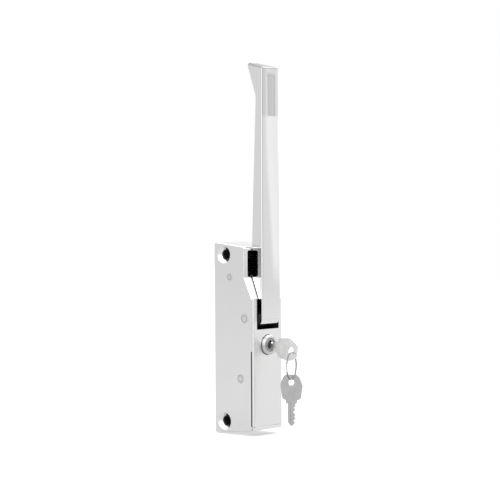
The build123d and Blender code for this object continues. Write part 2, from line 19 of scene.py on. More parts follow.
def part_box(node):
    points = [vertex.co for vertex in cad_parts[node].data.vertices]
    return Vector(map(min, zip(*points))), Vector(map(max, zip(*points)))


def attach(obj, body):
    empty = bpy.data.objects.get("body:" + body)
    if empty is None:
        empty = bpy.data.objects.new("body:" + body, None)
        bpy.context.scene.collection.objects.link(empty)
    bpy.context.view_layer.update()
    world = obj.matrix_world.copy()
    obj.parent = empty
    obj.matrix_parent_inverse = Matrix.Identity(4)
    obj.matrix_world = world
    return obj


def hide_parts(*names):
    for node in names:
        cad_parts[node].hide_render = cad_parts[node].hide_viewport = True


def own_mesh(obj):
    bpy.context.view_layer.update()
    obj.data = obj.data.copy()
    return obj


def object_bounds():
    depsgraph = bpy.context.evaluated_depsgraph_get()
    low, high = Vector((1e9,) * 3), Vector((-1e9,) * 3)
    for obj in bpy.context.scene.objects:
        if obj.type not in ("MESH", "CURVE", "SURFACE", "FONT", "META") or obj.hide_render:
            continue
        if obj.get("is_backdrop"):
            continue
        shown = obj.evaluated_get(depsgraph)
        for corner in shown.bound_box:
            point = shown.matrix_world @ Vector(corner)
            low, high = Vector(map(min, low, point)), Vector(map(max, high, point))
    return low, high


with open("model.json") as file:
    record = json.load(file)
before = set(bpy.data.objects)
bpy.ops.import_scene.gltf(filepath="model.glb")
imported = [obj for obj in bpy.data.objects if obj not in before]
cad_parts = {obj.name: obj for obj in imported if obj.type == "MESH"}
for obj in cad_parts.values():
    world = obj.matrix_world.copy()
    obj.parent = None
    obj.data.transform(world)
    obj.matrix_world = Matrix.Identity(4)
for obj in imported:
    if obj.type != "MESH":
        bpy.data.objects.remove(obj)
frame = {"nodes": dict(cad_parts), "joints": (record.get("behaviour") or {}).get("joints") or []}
solid_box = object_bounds()
pieces = frame["nodes"]
joints = {joint["name"]: joint for joint in frame["joints"]}
print(len(pieces), "pieces opened, height in mm:", round((solid_box[1].z - solid_box[0].z) * 1000, 1))

# %% [markdown]
# Shader graphs are sums of small nodes. They can be placed one by one, but the sums are then hard to read.
# Wire wraps one output socket, so that ordinary Python arithmetic adds the Math nodes. Outlets lets a node's
# outputs be picked by name or by number, and Bench holds the tree and makes every other kind of node.

# %% A socket that does arithmetic
class Wire:
    """One output socket of a node tree, with the operators of ordinary numbers."""

    def __init__(self, bench, socket):
        self.bench = bench
        self.socket = socket

    def maths(self, operation, first, second=0.0):
        return self.bench.node("ShaderNodeMath", {"operation": operation}, {0: first, 1: second})[0]

    def __add__(self, other):
        return self.maths("ADD", self, other)

    def __radd__(self, other):
        return self.maths("ADD", other, self)

    def __sub__(self, other):
        return self.maths("SUBTRACT", self, other)

    def __rsub__(self, other):
        return self.maths("SUBTRACT", other, self)

    def __mul__(self, other):
        return self.maths("MULTIPLY", self, other)

    def __rmul__(self, other):
        return self.maths("MULTIPLY", other, self)

    def __truediv__(self, other):
        return self.maths("DIVIDE", self, other)

    def __rtruediv__(self, other):
        return self.maths("DIVIDE", other, self)

    def __gt__(self, other):
        return self.maths("GREATER_THAN", self, other)

    def __lt__(self, other):
        return self.maths("LESS_THAN", self, other)

    def __abs__(self):
        return self.maths("ABSOLUTE", self)

    def root(self):
        return self.maths("SQRT", self)

    def wave(self):
        return self.maths("SINE", self)


print("a wire can:", ", ".join(name.strip("_") for name, made in vars(Wire).items() if callable(made)))

# %% [markdown]
# A node can be made with one line for each of its settings and links, but then a material's recipe is lost
# among them. The bench takes settings and inputs as dictionaries and hands back the node's outputs, so one
# line makes one node.


# %% The bench that makes nodes
class Outlets(list):
    """A node's outputs, found by number or by name."""

    def __getitem__(self, key):
        if isinstance(key, str):
            return next(wire for wire in self if wire.socket.name == key)
        return super().__getitem__(key)


class Bench:
    """The node tree of one material, or of the world."""

    def __init__(self, tree):
        self.tree = tree
        tree.nodes.clear()

    def node(self, kind, settings=None, inputs=None):
        made = self.tree.nodes.new(kind)
        for name, value in (settings or {}).items():
            if name == "stops":
                self.set_stops(made.color_ramp, value)
            else:
                setattr(made, name, value)
        for name, value in (inputs or {}).items():
            if isinstance(value, Wire):
                self.tree.links.new(value.socket, made.inputs[name])
            else:
                made.inputs[name].default_value = value
        return Outlets(Wire(self, socket) for socket in made.outputs)

    def set_stops(self, ramp, stops):
        ramp.elements[0].position, ramp.elements[-1].position = stops[0][0], stops[-1][0]
        for place, tone in stops[1:-1]:
            ramp.elements.new(place).color = (tone, tone, tone, 1.0)
        for element, (_, tone) in ((ramp.elements[0], stops[0]), (ramp.elements[-1], stops[-1])):
            element.color = (tone, tone, tone, 1.0)

    def mix(self, mask, first, second):
        """A colour between two others. A Math node would turn a colour grey, so this is a Mix node."""
        return self.node("ShaderNodeMix", {"data_type": "RGBA"}, {0: mask, 6: first, 7: second})[2]

    def place(self):
        """The surface point in metres, whole and as its three numbers."""
        spot = self.node("ShaderNodeTexCoord")["Object"]
        return spot, self.node("ShaderNodeSeparateXYZ", inputs={0: spot})

    def stretched(self, spot, scale):
        return self.node("ShaderNodeVectorMath", {"operation": "MULTIPLY"}, {0: spot, 1: scale})[0]

    def noise(self, spot, scale, detail=3.0):
        return self.node("ShaderNodeTexNoise", inputs={"Vector": spot, "Scale": scale, "Detail": detail})[0]

    def ramp(self, value, stops):
        return self.node("ShaderNodeValToRGB", {"stops": stops}, {0: value})[0]

    def clamp(self, value, low=0.0, high=1.0):
        return self.node("ShaderNodeClamp", inputs={0: value, 1: low, 2: high})[0]


def from_axis(axes, first, first_at, second, second_at):
    """Distance from an axis, measured across the two directions that it doesn't run along."""
    a = axes[first] - first_at
    b = axes[second] - second_at
    return (a * a + b * b).root()


print("node maker ready")

# %% [markdown]
# Every metal here is the same shader with other numbers, so one helper builds it. It takes a colour, a
# roughness and a height for the fine relief. The relief goes through a Bump node, because the marks of a
# polishing wheel are far smaller than any face that is worth modelling.


# %% A metal surface
def finish_metal(material, bench, colour, roughness, height, depth, metallic=1.0):
    """Connects one metal: what varies goes to Base Color, Roughness and Normal only."""
    relief = bench.node("ShaderNodeBump", inputs={"Height": height, "Distance": depth, "Strength": 1.0})[0]
    surface = bench.node("ShaderNodeBsdfPrincipled", inputs={
        "Base Color": colour, "Roughness": roughness, "Metallic": metallic, "Normal": relief})[0]
    bench.node("ShaderNodeOutputMaterial", inputs={0: surface})
    return material


def new_material(name):
    material = bpy.data.materials.new(name)
    material.use_nodes = True
    return material, Bench(material.node_tree)


def grey(tone, warmth=0.0):
    """A metal's colour: a tone, slightly warmer or cooler."""
    return (tone * (1 + warmth), tone, tone * (1 - warmth), 1.0)


print("a neutral tone:", grey(0.63))

# %% [markdown]
# The case and its cover are zinc castings, polished and chrome plated outside. Real chrome returns only
# about two thirds of the light, so a white studio shows in it as pale grey. Inside, nobody polishes a
# casting: it stays dull. Its colour there is painted nearly black as painted shade, and so are a band along
# the seam, the handle's slot and a thin ring round the lock. The inside could be a second material on its
# faces, but the solid's mesh is not to be touched, so the surface point itself tells the shader which side
# it is on.

# %% Sizes of the castings
case_low, case_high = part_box("case_body")
cover_low, cover_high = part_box("front_cover")
handle_low, handle_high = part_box("handle")
lock_low, lock_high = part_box("lock_barrel")
case_middle = (case_low + case_high) / 2
case_half = (case_high.x - case_low.x) / 2
side_wall = 0.0031
end_wall = 0.0042
rear_wall = 0.0028
cover_thickness = 0.0022
inner_half = case_half - side_wall
inner_top = case_high.z - end_wall
inner_rear = case_high.y - rear_wall
cover_back = cover_low.y + cover_thickness
plated_rim = 0.0005
slope_foot = 0.0394
slope_head = 0.0605
slope_run = 0.010
lock_middle = (lock_low + lock_high) / 2
collar_radius = (lock_high.z - lock_low.z) / 2
joint_inner = collar_radius - 0.0004
joint_outer = collar_radius + 0.0005
slot_half = 0.01602
slot_sill = 0.00958
seam_top = -0.0119
seam_foot = cover_low.z
seam_depth = 0.0015
print("case in mm:", round(case_half * 2000, 1), "wide outside,", round(inner_half * 2000, 1), "inside")

# %% [markdown]
# A mask is 1 where a finish belongs and 0 elsewhere. It could be painted on the vertices, but then it is
# only as sharp as the mesh is fine. Comparing the surface point with the sizes gives an exact edge, and
# where several conditions must hold, their masks are multiplied.


# %% Where the castings are left rough and painted with shade
def rough_and_shaded_case(bench, axes):
    """1 on the unpolished inner faces and in the seam, where shade is painted, 0 on the plated outside."""
    across = abs(axes["X"] - case_middle.x) < inner_half
    below_top = abs(axes["Z"]) < inner_top
    before_rear = axes["Y"] < inner_rear
    climb = bench.clamp((axes["Z"] - slope_foot) / (slope_head - slope_foot))
    behind_front = axes["Y"] > climb * slope_run + (cover_back + plated_rim)
    hollow = across * below_top * before_rear * behind_front
    # Painted shade: a dark band on the case just behind the cover, along the lower seam.
    seam = (axes["Y"] < cover_back + seam_depth) * (axes["Z"] < seam_top) * (axes["Z"] > seam_foot)
    return bench.clamp(hollow + seam)


def rough_and_shaded_cover(bench, axes):
    """1 on the cover's back and lips, in the handle's slot and in the thin joint round the lock, where shade
    is painted.
    """
    back = axes["Y"] > cover_back - 0.0001
    slot = (abs(axes["X"] - case_middle.x) < slot_half) * (axes["Z"] > slot_sill)
    # Painted shadow: a thin dark ring on the cover round the lock's collar.
    from_lock = from_axis(axes, "X", lock_middle.x, "Z", lock_middle.z)
    joint = (from_lock > joint_inner) * (from_lock < joint_outer)
    return bench.clamp(back + slot + joint)


def rough_and_shaded_root(axes):
    """1 on the parts of the handle that work inside the case, which are left rough and darkened as painted
    shade.
    """
    return (axes["Y"] > cover_back + 0.0002) * (axes["Z"] < slope_foot)


print("masks ready")

# %% [markdown]
# The outside is polished on a wheel along its length, so the marks are long and thin. A uniform mirror would
# be quicker to write, but real chrome has soft smudges from hands and a slight waviness of the casting under
# the plate, and it is these that bend the reflected edges of the room.


# %% Chrome on a casting
def chrome_on_casting(name, tone, base_rough, find_rough_and_shade):
    material, bench = new_material(name)
    spot, axes = bench.place()
    smudge = bench.ramp(bench.noise(spot, 42.0, 4.0), [(0.42, 0.0), (0.68, 1.0)])
    swirl = bench.noise(bench.stretched(spot, (700.0, 700.0, 40.0)), 1.0, 2.0)
    ripple = bench.noise(spot, 40.0, 1.0)
    rough = base_rough + smudge * 0.04 + swirl * 0.02
    colour = bench.mix(smudge * 0.3, grey(tone, 0.002), grey(tone * 0.97, -0.004))
    inside = find_rough_and_shade(bench, axes)
    grain = bench.noise(spot, 900.0, 3.0)
    rough = rough * (1.0 - inside) + inside * (0.55 + grain * 0.15)
    # Painted shade: the masked faces are coloured nearly black, and they are also left rough.
    colour = bench.mix(inside, colour, grey(0.06, -0.01))
    relief = ripple + swirl * 0.04 + inside * grain * 3.0
    return finish_metal(material, bench, colour, rough, relief, 0.00002)


case_chrome = chrome_on_casting("chrome_case", 0.65, 0.07, rough_and_shaded_case)
cover_chrome = chrome_on_casting("chrome_cover", 0.67, 0.28, rough_and_shaded_cover)
print("chrome finishes:", case_chrome.name, cover_chrome.name)

# %% [markdown]
# The handle is polished like the case, and it is the part that hands touch. Its thumb panel near the tip is
# duller and greyer. The front from the panel up to the tip is painted darker as painted shade, a band under
# the top of the tip darker still, and the small face on top of the tip nearly black. These could be pieces
# of their own, but they are the same casting, so masks in its finish are nearer the truth.

# %% Chrome on the handle
panel_low_z = handle_high.z - 0.0544
panel_high_z = handle_high.z - 0.0095
panel_half = 0.0063
crown_back = handle_low.y + 0.0012
tip_depth = 0.0244
tip_slope = 0.197
tip_edge = 0.0022
tip_fade = 0.0008
tip_face = 0.0005


def panel_of_handle(bench, axes):
    """1 inside the thumb panel, fading over a fraction of a millimetre at its rim."""
    sideways = 1.0 - abs(axes["X"] - case_middle.x) / panel_half
    inward = bench.clamp(sideways * 6.0)
    upper = bench.clamp((panel_high_z - axes["Z"]) / 0.004)
    lower = bench.clamp((axes["Z"] - panel_low_z) / 0.002)
    return inward * upper * lower * (axes["Y"] < crown_back)


def below_tip(axes):
    """How far a point lies below the sloped plane on top of the tip."""
    return (handle_high.z - (handle_low.y + tip_depth - axes["Y"]) * tip_slope) - axes["Z"]


def handle_finish(name, tone):
    material, bench = new_material(name)
    spot, axes = bench.place()
    smudge = bench.ramp(bench.noise(spot, 30.0, 4.0), [(0.40, 0.0), (0.70, 1.0)])
    swirl = bench.noise(bench.stretched(spot, (700.0, 700.0, 30.0)), 1.0, 2.0)
    ripple = bench.noise(bench.stretched(spot, (60.0, 60.0, 18.0)), 1.0, 1.0)
    panel = panel_of_handle(bench, axes)
    rough = 0.06 + smudge * 0.04 + swirl * 0.02 + panel * 0.22
    colour = bench.mix(smudge * 0.3, grey(tone, 0.002), grey(tone * 0.97, -0.004))
    # Painted shade: the front from the thumb panel's lower edge up to the tip is painted a darker grey.
    painted_shade_front = bench.clamp((axes["Z"] - panel_low_z) / 0.003) * (axes["Y"] < crown_back)
    colour = bench.mix(painted_shade_front * 0.6, colour, grey(0.50))
    colour = bench.mix(panel * 0.7, colour, grey(0.42))
    # Painted shade: a band just under the top of the tip is painted dark grey, and the face on top of the
    # tip nearly black.
    under = below_tip(axes)
    colour = bench.mix(bench.clamp((tip_edge - under) / tip_fade), colour, grey(0.26))
    colour = bench.mix(under < tip_face, colour, grey(0.07))
    # Painted shade: the handle's parts inside the case are coloured dark, and their roughness is raised.
    root_rough_and_shade = rough_and_shaded_root(axes)
    colour = bench.mix(root_rough_and_shade, colour, grey(0.16, -0.01))
    rough = rough * (1.0 - root_rough_and_shade) + root_rough_and_shade * 0.5
    return finish_metal(material, bench, colour, rough, ripple + swirl * 0.04, 0.00002)


handle_chrome = handle_finish("chrome_handle", 0.66)
print("thumb panel from", round(panel_low_z * 1000, 1), "to", round(panel_high_z * 1000, 1), "mm")

# %% [markdown]
# A turned or riveted face carries fine rings round its own axis. They could be drawn as many thin tori, but
# they are only microns high, so rings made from the distance to the axis are enough. The lock's face has the
# same marks round the Y axis, and the pin heads have theirs round X.


# %% Turned faces
def turned_metal(name, tone, node, axis, dark_from=1.0, dark_to=1.0, ring_gap=0.00035, shade_tone=0.75):
    """Metal with rings round an axis. Painted shade lies between the two distances dark_from and dark_to."""
    material, bench = new_material(name)
    spot, axes = bench.place()
    low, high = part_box(node)
    centre = (low + high) / 2
    across = {"X": ("Y", centre.y, "Z", centre.z), "Y": ("X", centre.x, "Z", centre.z)}[axis]
    distance = from_axis(axes, *across)
    rings = (distance * (2 * math.pi / ring_gap)).wave()
    worn = bench.ramp(bench.noise(spot, 300.0, 4.0), [(0.35, 0.0), (0.75, 1.0)])
    # Painted shade: a darker band between the two distances.
    painted_shade = (distance > dark_from) * (distance < dark_to)
    rough = 0.16 + rings * 0.02 + worn * 0.14 + painted_shade * 0.2
    colour = bench.mix(worn * 0.6, grey(tone), grey(tone * 0.8))
    colour = bench.mix(painted_shade * shade_tone, colour, grey(0.07))
    return finish_metal(material, bench, colour, rough, rings * 0.35 + worn * 0.4, 0.00001)


# The pin heads get painted shade round their rims, the lock's collar in its gap to the plug, and the plug
# over its face round the keyway.
pin_finish = {}
for pin_name, head_radius in (("lever_pin", 0.0035), ("pawl_pin", 0.0035), ("stop_pin", 0.0025)):
    pin_finish[pin_name] = turned_metal("steel_" + pin_name, 0.60, pin_name, "X", head_radius - 0.0007,
                                        head_radius + 0.0002, shade_tone=0.4)
roller_finish = turned_metal("steel_roller", 0.5, "pawl_roller", "X")
collar_finish = turned_metal("chrome_collar", 0.50, "lock_barrel", "Y", 0.0060, 0.0067)
plug_finish = turned_metal("nickel_plug", 0.34, "lock_plug", "Y", -1.0, 0.0040, 0.0005, 0.95)
print("turned finishes:", len(pin_finish) + 3)

# %% [markdown]
# Keys are stamped, plated with nickel and tumbled in a drum, which leaves a soft satin with scratches in
# every direction. Stamped steel inside the case is zinc plated and cloudier. A scanned picture of scratches
# would repeat, so both are noise at two sizes: a large cloud for the plating, a fine one for the scratches.


# %% Satin plate
def satin_plate(name, tone, warmth, cloud_size, base_rough, spread):
    material, bench = new_material(name)
    spot, _ = bench.place()
    cloud = bench.ramp(bench.noise(spot, 1.0 / cloud_size, 4.0), [(0.3, 0.0), (0.7, 1.0)])
    along = bench.noise(bench.stretched(spot, (2500.0, 2500.0, 160.0)), 1.0, 2.0)
    across = bench.noise(bench.stretched(spot, (160.0, 2500.0, 2500.0)), 1.0, 2.0)
    scratch = abs(along - across)
    rough = base_rough + cloud * spread + scratch * 0.12
    colour = bench.mix(cloud, grey(tone, warmth), grey(tone * 0.86, warmth * 0.5))
    return finish_metal(material, bench, colour, rough, scratch + cloud * 0.3, 0.000015)


# Both keys are the same nickel; the spare key is painted darker as painted shade.
key_nickel = satin_plate("nickel_key", 0.70, 0.006, 0.009, 0.22, 0.08)
shaded_spare_nickel = satin_plate("nickel_spare_key_shaded", 0.42, 0.004, 0.009, 0.24, 0.08)
zinc_plate = satin_plate("zinc_plated_steel", 0.46, -0.01, 0.006, 0.32, 0.12)
spring_wire = satin_plate("spring_wire", 0.3, -0.004, 0.004, 0.3, 0.1)
ring_wire = satin_plate("bright_wire", 0.22, 0.0, 0.004, 0.18, 0.06)
satin = (key_nickel, shaded_spare_nickel, zinc_plate, spring_wire, ring_wire)
print("satin finishes:", ", ".join(finish.name for finish in satin))

# %% [markdown]
# The washers are natural nylon and the spring's saddle is black nylon. Moulded nylon is not flat: it has a
# faint cloudiness and the fine spark texture of its mould, so it gets colour, roughness and relief too.


# %% Moulded nylon
def moulded_nylon(name, light, dark):
    material, bench = new_material(name)
    spot, _ = bench.place()
    cloud = bench.noise(spot, 160.0, 3.0)
    spark = bench.noise(spot, 2600.0, 2.0)
    colour = bench.mix(cloud, light, dark)
    return finish_metal(material, bench, colour, 0.42 + spark * 0.16, spark, 0.00001, metallic=0.0)


greased_nylon = moulded_nylon("nylon_greased", (0.16, 0.15, 0.13, 1.0), (0.05, 0.048, 0.042, 1.0))
black_nylon = moulded_nylon("nylon_black", (0.022, 0.022, 0.023, 1.0), (0.012, 0.012, 0.012, 1.0))
print("nylon finishes:", greased_nylon.name, black_nylon.name)

# %% [markdown]
# Now each solid takes its finish. A dictionary from finish to pieces shows at a glance what is made of what,
# which a long run of assignments would hide.

# %% Dress the solids
wardrobe = {
    case_chrome: ["case_body"],
    cover_chrome: ["front_cover"],
    handle_chrome: ["handle"],
    collar_finish: ["lock_barrel"],
    plug_finish: ["lock_plug"],
    roller_finish: ["pawl_roller"],
    key_nickel: ["key"],
    shaded_spare_nickel: ["spare_key"],
    zinc_plate: ["link_pin", "pull_links", "pawl", "roller_pin", "pawl_spacers", "lock_nut", "cam_tongue",
                 "cam_washer", "cam_screw"],
    spring_wire: ["return_spring"],
    ring_wire: ["key_ring"],
    greased_nylon: ["lever_washers"],
    black_nylon: ["spring_seat"],
}
for name, material in pin_finish.items():
    wardrobe[material] = [name]
for material, names in wardrobe.items():
    for name in names:
        pieces[name].data.materials.clear()
        pieces[name].data.materials.append(material)
undressed = set(pieces) - {name for names in wardrobe.values() for name in names}
print("undressed pieces:", sorted(undressed))

# %% [markdown]
# Wire pieces are tubes along a curve. Blender's curve bevel would do, but a mesh tube with its own frames
# keeps its section even and can close its ends with caps, so the helper below makes one from any list of
# points that a formula gives. Before it come two small functions for shares, which later pieces use as well.


# %% A tube along points
def share_between(value, low, high):
    """0 up to low, 1 from high on, and even between them."""
    return min(max((value - low) / (high - low), 0.0), 1.0)


def eased(share):
    """The same share, but it starts and ends gently."""
    return share * share * (3 - 2 * share)


def tube_mesh(name, points, radius, sides=14):
    """Mesh tube with capped ends. Each ring stands square to the path and is carried on from the last."""
    vertices, faces = [], []
    normal = None
    for index, point in enumerate(points):
        before = points[max(index - 1, 0)]
        after = points[min(index + 1, len(points) - 1)]
        ahead = (after - before).normalized()
        if normal is None:
            normal = ahead.orthogonal().normalized()
        normal = (normal - ahead * normal.dot(ahead)).normalized()
        side = ahead.cross(normal)
        for step in range(sides):
            turn = 2 * math.pi * step / sides
            vertices.append(point + (normal * math.cos(turn) + side * math.sin(turn)) * radius)
        if index:
            start = (index - 1) * sides
            for step in range(sides):
                a, b = start + step, start + (step + 1) % sides
                faces.append((a, b, b + sides, a + sides))
    last = (len(points) - 1) * sides
    faces.append(tuple(reversed(range(sides))))
    faces.append(tuple(range(last, last + sides)))
    mesh = bpy.data.meshes.new(name)
    mesh.from_pydata([tuple(v) for v in vertices], [], faces)
    mesh.polygons.foreach_set("use_smooth", [True] * (len(faces) - 2) + [False] * 2)
    return mesh


def add_piece(name, mesh, body, material):
    mesh.materials.append(material)
    piece = bpy.data.objects.new(name, mesh)
    bpy.context.scene.collection.objects.link(piece)
    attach(piece, body)
    return piece


print("tube maker ready")

# %% [markdown]
# A key ring is a split ring: one wire wound twice, with a short jog where it changes layer. A plain torus
# has the right outline, but the double line of the two turns is what the eye expects, so the wire is wound
# here inside the torus's own outline.

# %% Split key ring
ring_low, ring_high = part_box("key_ring")
ring_centre = (ring_low + ring_high) / 2
ring_outer = (ring_high.z - ring_low.z) / 2
ring_axis = Vector(joints["ring_swing"]["axis"])
across_ring = Vector((-ring_axis.x, -ring_axis.y, 0.0)).normalized()
through_ring = across_ring.cross(Vector((0, 0, 1)))
torus_wire = 0.0007
layer_gap = 0.00033
turn_wire = 0.00036
jog = math.radians(35)
wire_start = math.radians(200)
ring_steps = 220


def split_ring_point(share):
    angle = share * (4 * math.pi - jog)
    layer = -layer_gap + 2 * layer_gap * eased(share_between(angle, 2 * math.pi - jog, 2 * math.pi))
    radius = ring_outer - torus_wire
    bearing = angle + wire_start
    return (ring_centre + across_ring * (radius * math.cos(bearing))
            + Vector((0, 0, radius * math.sin(bearing))) + through_ring * layer)


ring_points = [split_ring_point(step / ring_steps) for step in range(ring_steps + 1)]
ring_mesh = tube_mesh("split_ring", ring_points, turn_wire)
split_ring = add_piece("split_ring", ring_mesh, "ring", ring_wire)
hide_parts("key_ring")
print("split ring, outside diameter in mm:", round(ring_outer * 2000, 1))

# %% [markdown]
# The return spring is a compression spring with closed ends: the first and last turns lie flat so that it
# stands square. A screw modifier would give one even pitch, as the solid has. Here the climb is slowed at
# both ends. In the latch the handle's tail squeezes the spring as the handle turns.

# %% Return spring
spring_low, spring_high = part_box("return_spring")
spring_centre = (spring_low + spring_high) / 2
spring_wire_radius = 0.0007
spring_radius = (spring_high.x - spring_low.x) / 2 - spring_wire_radius
spring_turns = 8.0
closed_share = 0.10
spring_steps = 420


def spring_climb(share):
    """Height share of the wire: slow over the two closed ends, even between them."""
    end_rise = 0.055
    if share < closed_share:
        return end_rise * share / closed_share
    if share > 1 - closed_share:
        return 1 - end_rise * (1 - share) / closed_share
    return end_rise + (1 - 2 * end_rise) * (share - closed_share) / (1 - 2 * closed_share)


def spring_point(share):
    angle = 2 * math.pi * spring_turns * share
    bottom = spring_low.z + spring_wire_radius
    top = spring_high.z - spring_wire_radius
    return Vector((spring_centre.x + spring_radius * math.cos(angle),
                   spring_centre.y + spring_radius * math.sin(angle),
                   bottom + (top - bottom) * spring_climb(share)))


spring_points = [spring_point(step / spring_steps) for step in range(spring_steps + 1)]
spring_mesh = tube_mesh("coil_spring", spring_points, spring_wire_radius)
coil_spring = add_piece("coil_spring", spring_mesh, "case", spring_wire)
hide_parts("return_spring")
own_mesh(coil_spring)
print("spring height in mm:", round((spring_high.z - spring_low.z) * 1000, 1))

# %% [markdown]
# The castings need forms that the solid draws more simply. They could be cut with modifiers, but a casting
# is easier to steer from flat outlines, which are then stacked or given a thickness. The outlines come
# first: corners become arcs of their own radius, a right half is mirrored, and a bore is a circle.


# %% Outlines
def rounded(points, radii, steps=5):
    """Outline whose corners are arcs of their own radius, and stay sharp where the radius is 0."""
    outline = []
    for index, spot in enumerate(points):
        corner = Vector(spot)
        if radii[index] == 0:
            outline.append(corner)
            continue
        before = (Vector(points[index - 1]) - corner).normalized()
        after = (Vector(points[(index + 1) % len(points)]) - corner).normalized()
        half_angle = before.angle(after) / 2
        centre = corner + (before + after).normalized() * (radii[index] / math.sin(half_angle))
        start = corner + before * (radii[index] / math.tan(half_angle)) - centre
        end = corner + after * (radii[index] / math.tan(half_angle)) - centre
        sweep = start.angle(end)
        for step in range(steps + 1):
            share = step / steps
            outline.append(centre + (start * math.sin((1 - share) * sweep) + end * math.sin(share * sweep))
                           / math.sin(sweep))
    return outline


def mirrored(right):
    """Whole outline from its right half, whose first and last points lie on the middle plane."""
    return right + [Vector((-spot.x, spot.y)) for spot in reversed(right[1:-1])]


def circle(centre_u, centre_v, radius, steps=36):
    turns = [2 * math.pi * step / steps for step in range(steps)]
    return [(centre_u + radius * math.cos(t), centre_v + radius * math.sin(t)) for t in turns]


print("points in a rounded square:", len(rounded([(0, 0), (1, 0), (1, 1), (0, 1)], [0.1] * 4)))

# %% [markdown]
# A long cast form is a stack of rings, each the section at one height, with quads between them. Curves could
# be lofted instead, but then single points of the front can't be moved. The ends are closed with narrow
# strips from side to side, because one face with a hundred corners shades unevenly.


# %% Rings laid one above the other
def add_rings(vertices, faces, rings):
    """Joins mirror-symmetric rings with quads. Caps are strips between a point and its mirror image."""
    first, count = len(vertices), len(rings[0])
    for ring in rings:
        vertices.extend(ring)
    for level in range(len(rings) - 1):
        for step in range(count):
            a = first + level * count + step
            b = first + level * count + (step + 1) % count
            faces.append((a, b, b + count, a + count))
    for start in (first, first + (len(rings) - 1) * count):
        for step in range(count // 2):
            strip = (step, step + 1, count - step - 1, (count - step) % count)
            faces.append(tuple(dict.fromkeys(start + corner for corner in strip)))


print("ring helper ready")

# %% [markdown]
# A plate with bores is one outline with holes in it, given a thickness. Each bore could be cut with a
# boolean, but that leaves stray edges, while an outline filled round its holes has only its own points. At
# the end all normals are turned outwards, and an edge stays sharp where its faces meet at a clear angle.


# %% Plates with bores
def add_slab(vertices, faces, outline, holes, ends, place):
    """Flat plate with round or shaped holes. The place function turns (u, v, end) into a point."""
    loops = [list(outline)] + [list(hole) for hole in holes]
    flat = [[Vector((u, v, 0.0)) for u, v in loop] for loop in loops]
    first = len(vertices)
    total = sum(len(loop) for loop in loops)
    for end in ends:
        vertices.extend(place(u, v, end) for loop in loops for u, v in loop)
    for corners in tessellate_polygon(flat):
        faces.append(tuple(first + corner for corner in corners))
        faces.append(tuple(first + total + corner for corner in reversed(corners)))
    start = first
    for loop in loops:
        for step in range(len(loop)):
            a, b = start + step, start + (step + 1) % len(loop)
            faces.append((a, b, b + total, a + total))
        start += len(loop)


def casting_mesh(name, vertices, faces, crease=28.0):
    """Mesh with normals turned outwards, smooth except where faces meet at more than the crease."""
    mesh = bpy.data.meshes.new(name)
    mesh.from_pydata([tuple(v) for v in vertices], [], faces)
    work = bmesh.new()
    work.from_mesh(mesh)
    bmesh.ops.recalc_face_normals(work, faces=work.faces)
    for face in work.faces:
        face.smooth = True
    for edge in work.edges:
        edge.smooth = edge.calc_face_angle(0.0) < math.radians(crease)
    work.to_mesh(mesh)
    work.free()
    return mesh


print("plate helper ready")

# %% [markdown]
# The lever is the largest face of the latch. A cast lever has draft: its sides close in towards the back, so
# that it leaves the mould, and its front is slightly crowned. A block with bevelled edges would catch the
# light in one flat patch. The draft and the crown are what draw the long bright line along its edge, and the
# back follows the case at half a millimetre, as a fitted casting does.

# %% Sizes of the lever
lever_front = handle_low.y
lever_half = (handle_high.x - handle_low.x) / 2
lever_top = handle_high.z
lever_foot = 0.015
lug_top = 0.0355
draft = math.tan(math.radians(11.3))
crown_radius = 0.100
lever_edge = 0.0012
narrowing = 0.001
narrow_from = 0.137
fit_gap = 0.0005
throat_y = cover_back - fit_gap
root_y = cover_back + slope_run - fit_gap
tip_rear = lever_front + tip_depth
top_drop = 0.0048
tilt_from = 0.240
chin_rise = 0.005
chin_run = 0.0038
panel_depth = 0.0003
panel_corner = 0.003
panel_rim = 0.0014
rear_line = rounded(
    [(throat_y, lever_foot), (throat_y, slope_foot), (root_y, slope_head), (root_y, 0.097),
     (lever_front + 0.0115, 0.238), (tip_rear - 0.0006, 0.2667), (tip_rear, lever_top)],
    [0, 0, 0.002, 0.030, 0.014, 0, 0])
print("points down the lever's back:", len(rear_line))

# %% [markdown]
# A section is half an outline and its mirror image, so both sides of the lever are alike. Closely set
# columns of points across the front carry the thumb panel, a hollow of three tenths of a millimetre with a
# soft rim. It could be cut with a boolean, but on a crowned front that leaves ragged faces, so the points
# themselves are pressed in. Spare points beside each rounded edge keep the faces next to it flat.

# %% One section of the lever
column_gap = 0.0005
panel_columns = 15
outer_columns = [0.0085, 0.0105]
edge_support = 0.0016


def rear_at(z):
    """Depth of the lever's back at one height."""
    for low, high in zip(rear_line, rear_line[1:]):
        if low.y <= z <= high.y and high.y > low.y:
            return low.x + (high.x - low.x) * (z - low.y) / (high.y - low.y)
    return rear_line[-1].x if z > lever_foot else rear_line[0].x


def thumb_hollow(x, z):
    """How deep the thumb panel lies under the crown at one point."""
    centre = (panel_low_z + panel_high_z) / 2
    over_x = max(abs(x) - panel_half + panel_corner, 0.0)
    over_z = max(abs(z - centre) - (panel_high_z - panel_low_z) / 2 + panel_corner, 0.0)
    inward = panel_corner - math.hypot(over_x, over_z)
    return panel_depth * eased(share_between(inward, 0.0, panel_rim))


